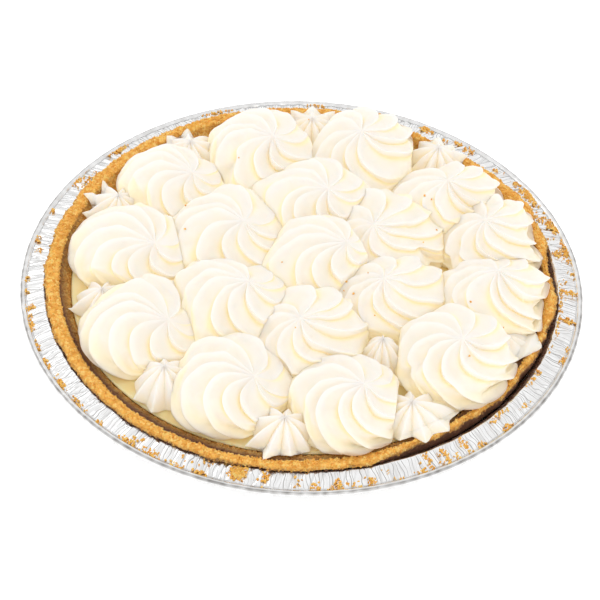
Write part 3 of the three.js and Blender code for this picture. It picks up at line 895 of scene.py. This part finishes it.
stars = [  # centre x, y, radius, height, bearing of a lobe, stretch to the right, depth of the grooves
    (-54.0, 74.0, 17.0, 12.5, 20, 0, 1.0),
    (-83.5, 36.0, 16.0, 11.5, 0, 0, 1.0),
    (1.6, 95.0, 16.0, 12.0, 10, 0, 1.0),
    (60.5, 78.0, 15.5, 11.5, 5, 0, 1.0),
    (-84.6, -23.5, 14.0, 11.0, 0, 0, 1.0),
    (-54.5, -69.5, 14.5, 14.0, 15, 0, 0.6),
    (-4.6, -93.6, 15.5, 13.0, 3, 0, 1.0),
    (46.0, -82.0, 14.5, 12.5, 12, 0.4, 0.8),
    (34.2, -50.5, 10.5, 15.5, 8, 0, 0.7),
    (87.5, -36.5, 13.5, 6.5, 20, 0, 0.15),
]
ridges = {
    "count": 10,
    "rows": 76,
    "strength": (0.45, 1.45),  # smallest and largest depth of the channels beside a ridge
    "shift": (-0.22, 0.22),  # how far a ridge stands from its even place, in parts of their spacing
    "deepest": 7.5,  # mm
    "path": [  # along a ridge's crest: place, out, up, turn in degrees, depth of the channels in mm
        (0.00, 0.97, 0.00, 4, 1.8),
        (0.06, 1.08, 0.09, -9, 2.7),
        (0.14, 1.11, 0.19, -25, 2.9),
        (0.24, 1.075, 0.31, -41, 2.7),
        (0.35, 1.02, 0.47, -54, 2.5),
        (0.47, 0.925, 0.64, -69, 2.3),
        (0.60, 0.76, 0.80, -86, 2.1),
        (0.73, 0.54, 0.89, -101, 1.7),
        (0.86, 0.28, 0.945, -111, 0.95),
        (0.95, 0.08, 0.97, -114, 0.3),
        (1.00, 0.012, 0.98, -115, 0.03),
    ],
    # height of the surface from one crest, 1, to the next: rounded fingers and lobes at the foot,
    # and on top channels that are steepest just before the next thin crest
    "fingers": [(0, 1), (0.04, 0.72), (0.1, 0.3), (0.2, -0.15), (0.32, -0.6), (0.42, -0.95), (0.5, -1.2),
                (0.55, -1.2), (0.6, -0.7), (0.65, 0.15), (0.72, 0.6), (0.84, 0.88), (0.94, 0.98), (1, 1)],
    "lobes": [(0, 1), (0.08, 0.97), (0.25, 0.78), (0.45, 0.5), (0.62, 0.15), (0.74, -0.25), (0.83, -0.8),
              (0.89, -1.15), (0.93, -1.0), (0.965, 0.0), (0.985, 0.7), (1, 1)],
    "channels": [(0, 1), (0.03, 0.82), (0.08, 0.42), (0.17, -0.05), (0.3, -0.4), (0.45, -0.62), (0.6, -0.8),
                 (0.74, -1.0), (0.84, -1.35), (0.89, -1.4), (0.93, -0.9), (0.965, 0.3), (0.985, 0.8), (1, 1)],
    # where the points lie from one crest to the next, closest where the surface is steepest
    "across": [0, 0.014, 0.03, 0.052, 0.08, 0.115, 0.16, 0.215, 0.28, 0.35, 0.43, 0.51, 0.58, 0.65, 0.72,
               0.78, 0.83, 0.87, 0.905, 0.932, 0.955, 0.972, 0.987],
}
starForm = {
    "lobes": 9,
    "path": [  # along a lobe: place, out, up, depth of the grooves
        (0.00, 0.90, 0.00, 0.16),
        (0.10, 1.00, 0.07, 0.32),
        (0.25, 0.90, 0.28, 0.38),
        (0.45, 0.68, 0.57, 0.38),
        (0.65, 0.43, 0.80, 0.34),
        (0.85, 0.18, 0.95, 0.26),
        (1.00, 0.03, 1.00, 0.05),
    ],
    "strength": (0.84, 1.14),  # shortest and longest lobe
    "columnsPerLobe": 18,
    "rows": 44,
}


def restOnCrust(points, above):
    # keeps cream on the inner part of the crest, above the crumb slope
    base, foot, limit = (creamForm[key] for key in ("base", "slopeFoot", "crestLimit"))
    r = np.hypot(points[..., 0], points[..., 1])
    angle = np.arctan2(points[..., 1], points[..., 0])
    _, inner, top = crustShape(np.degrees(angle))
    over = np.maximum(0, r - limit)
    kept = np.where(over > 0, limit + 2.0 * (1 - np.exp(-over / 2.0)), r)
    climb = np.maximum(0, (kept - foot) / (inner - 0.3 - foot))
    floor = base + (top + 0.3 - base) * np.minimum(1.0, climb)
    z = np.maximum(points[..., 2], floor + above)
    return np.stack([kept * np.cos(angle), kept * np.sin(angle), z], -1)


def reachToCrust(x, y, angle, limit):
    # how far it is from x, y to the circle of this radius round the pie
    along = x * np.cos(angle) + y * np.sin(angle)
    return -along + np.sqrt(np.maximum(along**2 + limit**2 - x**2 - y**2, 1))


def neighboursOf(me):
    # for each neighbour the direction towards it and how far away the cut between the two is
    found = []
    for other in swirls + stars:
        away = np.array([other[0] - me[0], other[1] - me[1]])
        distance = math.hypot(away[0], away[1])
        if other is not me and distance <= creamForm["neighbours"]:
            cut = (distance**2 + me[2] ** 2 - other[2] ** 2) / (2 * distance)
            found.append((away / distance, cut))
    return found


def keepToPatch(points, me):
    # lets a swirl press a little way into its neighbours; its left side lies over theirs
    for towards, cut in neighboursOf(me):
        side = (points[..., 0] - me[0]) * towards[0] + (points[..., 1] - me[1]) * towards[1] - cut
        over = np.maximum(0, side)
        soft = 2.2 - 1.4 * towards[0]
        back = over - soft * (1 - np.exp(-over / soft))
        points[..., 0] -= back * towards[0]
        points[..., 1] -= back * towards[1]
    return points


def roomToPatch(me, angle):
    # how far it is from the middle of a swirl to the first cut between it and a neighbour
    room = np.full(angle.shape, 1.26 * me[2])
    for towards, cut in neighboursOf(me):
        facing = np.cos(angle) * towards[0] + np.sin(angle) * towards[1]
        room = np.minimum(room, (cut + 0.8) / np.maximum(facing, 0.05))
    return room


def spreadOut(bearing):
    # ridges stand closer at the front right and wider apart at the back left, degrees
    return bearing - 5 * np.sin(np.radians(bearing + 35))


def fingersAt(bearing):
    # 1 at the front right, where the foot of a swirl is drawn out into fingers
    return swell(bearing, -50, 140)


def across(name, between):
    return np.interp(between, *zip(*ridges[name]))


def foldAcross(between, bearing, up):
    # channels on top, lobes or fingers at the foot
    toRight = smooth((np.cos(np.radians(bearing) + 0.35) + 0.35) / 0.8)
    atFoot = across("lobes", between) * (1 - toRight) + across("fingers", between) * toRight
    low = smooth((0.52 - up) / 0.4) * np.clip(0.35 + fingersAt(bearing), 0, 1)
    onTop = across("channels", between)
    return onTop + (atFoot - onTop) * low


def foldStrength(bearing, up, leanX):
    # deeper at the foot, and nearly smooth at the upper right, most of all where a swirl leans that way
    atFoot = smooth((0.4 - up) / 0.35) * swell(bearing, 200, 90)
    fingers = fingersAt(bearing) * np.clip(1.35 - up / 0.5, 0, 1)
    leaning = min(1, leanX / 12) if leanX > 3 else 0.0
    upperRight = smooth((up - 0.5 + 0.2 * leaning) / 0.3)
    upperRight = upperRight * swell(bearing, 35 - 25 * leaning, 80 + 15 * leaning)
    return (0.85 + 0.45 * atFoot + 1.15 * fingers) * (1 - (0.75 + 0.2 * leaning) * upperRight)


def finishCream(kind, index, piece, points, crease):
    bottom = restOnCrust(np.array([[piece[0], piece[1], creamForm["base"]]]), 0)[0] * mm
    made = ringMesh("cream%s%02d" % (kind, index + 1), points, bottom, points[-1].mean(0))
    setAttribute(made, "crease", crease)
    finishPiece(made, creamFinish, "cream", "cream_%s_%02d" % (kind.lower(), index + 1))
    return made


def makeSwirl(index, piece):
    x, y, radius, height, crestBearing, leanX, leanY, lowering = piece
    rng = np.random.default_rng(100 + index)
    n = ridges["count"]
    between = np.tile(ridges["across"], n)[None, :]
    ridge = np.repeat(np.arange(n), len(ridges["across"]))[None, :]
    after = (ridge + 1) % n
    s = np.linspace(0, 1, ridges["rows"])[:, None]
    strength = rng.uniform(*ridges["strength"], n)
    shift = rng.uniform(*ridges["shift"], n)
    waver = rng.uniform(0, tau, n)
    out, up, turn, depth = (curveThrough(ridges["path"], column, s) for column in (1, 2, 3, 4))
    middle = smooth(s * 8) * smooth((1 - s) * 4)  # 0 at the foot and at the tip

    def wander(which):
        return shift[which] + 0.05 * np.sin(waver[which] + 7 * s) * np.clip(s * 6, 0, 1)

    # round the swirl: ridges turn as they climb, and their crests lean over
    phase = ridge + between + wander(ridge) * (1 - between) + wander(after) * between
    foot = spreadOut(crestBearing + phase * 360 / n) - spreadOut(crestBearing) + crestBearing
    onCrest = np.exp(-(((between + 0.5) % 1 - 0.5) / 0.05) ** 2)
    bearing = foot + turn - 1.8 * onCrest * middle
    angle = np.radians(bearing)

    # outwards: the ridges' path, with channels pushed in at right angles to it
    fold = foldAcross(between, bearing, up)
    near = strength[ridge] * (1 - between) + strength[after] * between
    push = depth * near * (fold - 1) * foldStrength(bearing, up, leanX)
    push = -ridges["deepest"] * np.tanh(-push / ridges["deepest"])
    trim = 1 - 0.05 * swell(bearing, 160, 95) + 0.10 * swell(bearing, 40, 110) * smooth((up - 0.15) / 0.3)
    trim = trim + 0.02 * np.sin(2 * angle + waver[0]) + 0.015 * np.sin(3 * angle + waver[1])
    slopeOut, slopeUp = np.gradient(radius * out, axis=0), np.gradient(height * up, axis=0)
    steep = np.hypot(slopeOut, slopeUp) + 1e-9
    reach = np.maximum(radius * out * trim + push * slopeUp / steep, 0.02 * radius * out)

    # the tips end on the crust, those of the two swirls at the right well before its edge
    limit = creamForm["swirlLimit"] - 4.5 * swell(bearing, -5, 65) * (x > 80)
    room = reachToCrust(x, y, angle, limit) / (radius * 1.12)
    reach = reach * np.minimum(1, 1 + (room - 1) * smooth(out * 2 - 0.6))

    # inside the pie the lower half spreads until it meets the neighbours
    room = roomToPatch(piece, angle)
    cutX, cutY = x + room * np.cos(angle), y + room * np.sin(angle)
    inside = smooth((101 - np.hypot(cutX, cutY)) / 10)
    fill = 0.92 * smooth((0.98 - up) / 0.52) * inside
    for hollowX, hollowY, size in creamForm["hollows"]:
        fill = fill * (1 - np.exp(-(np.hypot(cutX - hollowX, cutY - hollowY) / size) ** 2))
    reach = reach + fill * np.maximum(0, room - reach)

    # upwards: lower on the side that it leans to
    toTop = np.maximum(0, up - 0.35) / 0.65 * (1 - out * 0.5)
    dx = leanX * toTop + reach * np.cos(angle)
    dy = leanY * toTop + reach * np.sin(angle)
    leanSide = (dx * leanX + dy * leanY) / math.hypot(leanX, leanY) / radius
    rise = height * up * (1 - lowering * np.maximum(0, leanSide + 0.1))
    rise = rise - push * slopeOut / steep * np.clip(s * 6 - 0.6, 0, 1)
    z = creamForm["base"] + np.maximum(rise, height * up * 0.2)
    points = keepToPatch(np.stack([x + dx, y + dy, z], -1), piece)

    # hand-piped cream is never quite even
    uneven = [noise.noise(Vector(point) / 7.0) for point in points.reshape(-1, 3)]
    uneven = np.reshape(uneven, points.shape[:2]) * middle
    points[..., 0] += 0.4 * uneven * np.cos(angle)
    points[..., 1] += 0.4 * uneven * np.sin(angle)
    points[..., 2] += 1.0 * uneven
    points = restOnCrust(points, height * np.maximum(0, up) * 0.35) * mm

    # painted shade: warmer in the channels, where it presses against a neighbour, and low on its sides
    channel = 0.3 * np.clip(-fold, 0, 1) + 0.7 * np.clip((-0.85 - fold) / 0.4, 0, 1)
    channel = channel * np.clip((1 - s) * 5, 0, 1) * np.clip(s * 8, 0, 1) * np.clip(depth / 2, 0, 1)
    seam = 0.6 * smooth((reach / room - 0.955) / 0.04) * inside
    lowSide = smooth((0.75 - up) / 0.5) * (0.55 + 0.4 * fill)
    return finishCream("Swirl", index, piece, points, np.maximum(np.maximum(channel, seam), lowSide))


def makeStar(index, piece):
    x, y, radius, height, lobeBearing, stretch, grooves = piece
    rng = np.random.default_rng(300 + index)
    n = starForm["lobes"]
    s = np.linspace(0, 1, starForm["rows"])[:, None]
    phase = np.arange(n * starForm["columnsPerLobe"])[None, :] / starForm["columnsPerLobe"]
    lobe = np.floor(phase).astype(int) % n
    between = phase - np.floor(phase)
    strength = rng.uniform(*starForm["strength"], n)
    crest = np.abs(2 * between - 1) ** 1.15  # 1 on a lobe's crest, 0 in the groove
    out, up, depth = (curveThrough(starForm["path"], column, s) for column in (1, 2, 3))
    angle = math.radians(lobeBearing) + phase / n * tau
    near = np.where(between < 0.5, strength[lobe], strength[(lobe + 1) % n])
    stretched = 1 + stretch * np.maximum(0, np.cos(angle)) ** 2
    reach = radius * out * (1 - grooves * depth * (1 - crest)) * (1 + (near - 1) * crest) * stretched
    room = reachToCrust(x, y, angle, creamForm["starLimit"]) / (radius * stretched)
    reach = reach * np.minimum(1, room)
    z = creamForm["base"] + height * up * (1 - 0.12 * (1 - crest))
    points = np.stack([x + reach * np.cos(angle), y + reach * np.sin(angle), z], -1)
    points = restOnCrust(keepToPatch(points, piece), height * np.maximum(0, up) * 0.5) * mm
    # painted shade: warmer in the grooves and low on its sides
    groove = grooves * np.clip(0.5 - crest, 0, 1) * np.clip((1 - s) * 4, 0, 1)
    return finishCream("Star", index, piece, points, np.maximum(groove, 0.5 * smooth((0.5 - up) / 0.4)))


creamPieces = [makeSwirl(i, piece) for i, piece in enumerate(swirls)]
creamPieces += [makeStar(i, piece) for i, piece in enumerate(stars)]
print("cream piped")

specks = [  # x, y, radius in mm of the few crumbs that lie on the cream
    (-53, 30, 0.5), (-60, 23, 0.4), (-52, 12, 0.5), (-31, 59, 0.4), (0, 94, 0.35), (53, 39, 0.6),
    (56, 37, 0.5), (58, 18, 0.45), (52, 10, 0.4), (19, -13, 0.5), (18, -16, 0.4), (22, -20, 0.7),
    (-9, -5, 0.35), (28, -11, 0.35), (71, -28, 0.5), (84, -42, 0.5), (69, -62, 0.5), (-2, -48, 0.4),
    (31, -34, 0.4),
]


def makeSpecks():
    shape = bmesh.new()
    rng = random.Random(9)
    trees = []
    for piece in creamPieces:
        corners = [vertex.co for vertex in piece.data.vertices]
        trees.append(BVHTree.FromPolygons(corners, [polygon.vertices for polygon in piece.data.polygons]))
    for x, y, size in specks:
        hits = [tree.ray_cast(Vector((x * mm, y * mm, 0.1)), Vector((0, 0, -1)))[0] for tree in trees]
        heights = [hit.z for hit in hits if hit]
        if not heights:
            continue
        place = Matrix.Translation((x * mm, y * mm, max(heights) + size * 0.2 * mm))
        made = bmesh.ops.create_icosphere(shape, subdivisions=1, radius=size * mm, matrix=place)
        for vertex in made["verts"]:
            vertex.co += Vector([rng.uniform(-0.3, 0.3) * size * mm for _ in range(3)])
    mesh = bpy.data.meshes.new("creamSpecks")
    shape.to_mesh(mesh)
    shape.free()
    piece = bpy.data.objects.new("creamSpecks", mesh)
    bpy.context.collection.objects.link(piece)
    finishPiece(piece, crustFinish, "crust")


makeSpecks()
print("specks laid")

floorLook = {
    "Base Color": (0.8, 0.8, 0.8, 1),
    "Emission Color": (1, 1, 1, 1),
    "Emission Strength": 0.5,
    "Roughness": 0.9,
}


def makeFloor():
    half = 3.0
    corners = [(-half, -half, 0), (half, -half, 0), (half, half, 0), (-half, half, 0)]
    mesh = bpy.data.meshes.new("floor")
    mesh.from_pydata(corners, [], [(0, 1, 2, 3)])
    floor = bpy.data.objects.new("floor", mesh)
    bpy.context.collection.objects.link(floor)
    floor.location.z = -0.0005
    material, _, shader = newMaterial("floorWhite")
    for name, value in floorLook.items():
        shader.inputs[name].default_value = value
    mesh.materials.append(material)


light = {  # metres and watts
    "key": {"position": (-0.9, 0.6, 1.0), "size": 0.6, "power": 0.82},
    "fill": {"position": (0.2, -1.1, 1.0), "size": 1.2, "power": 1.4},
    "target": (0, 0, 0.03),
    "sky": 1.0,
}


def addLight(name):
    values = light[name]
    data = bpy.data.lights.new(name, "AREA")
    data.shape = "DISK"
    data.size = values["size"]
    data.energy = values["power"]
    lamp = bpy.data.objects.new(name, data)
    bpy.context.collection.objects.link(lamp)
    lamp.location = values["position"]
    aim = Vector(light["target"]) - Vector(values["position"])
    lamp.rotation_euler = aim.to_track_quat("-Z", "Y").to_euler()


def makeSky():
    world = bpy.data.worlds.new("world")
    bpy.context.scene.world = world
    world.use_nodes = True
    background = world.node_tree.nodes["Background"]
    background.inputs["Color"].default_value = (1, 1, 1, 1)
    background.inputs["Strength"].default_value = light["sky"]


makeFloor()
addLight("key")
addLight("fill")
makeSky()
bpy.context.scene.view_settings.view_transform = "Standard"
print("stage lit")
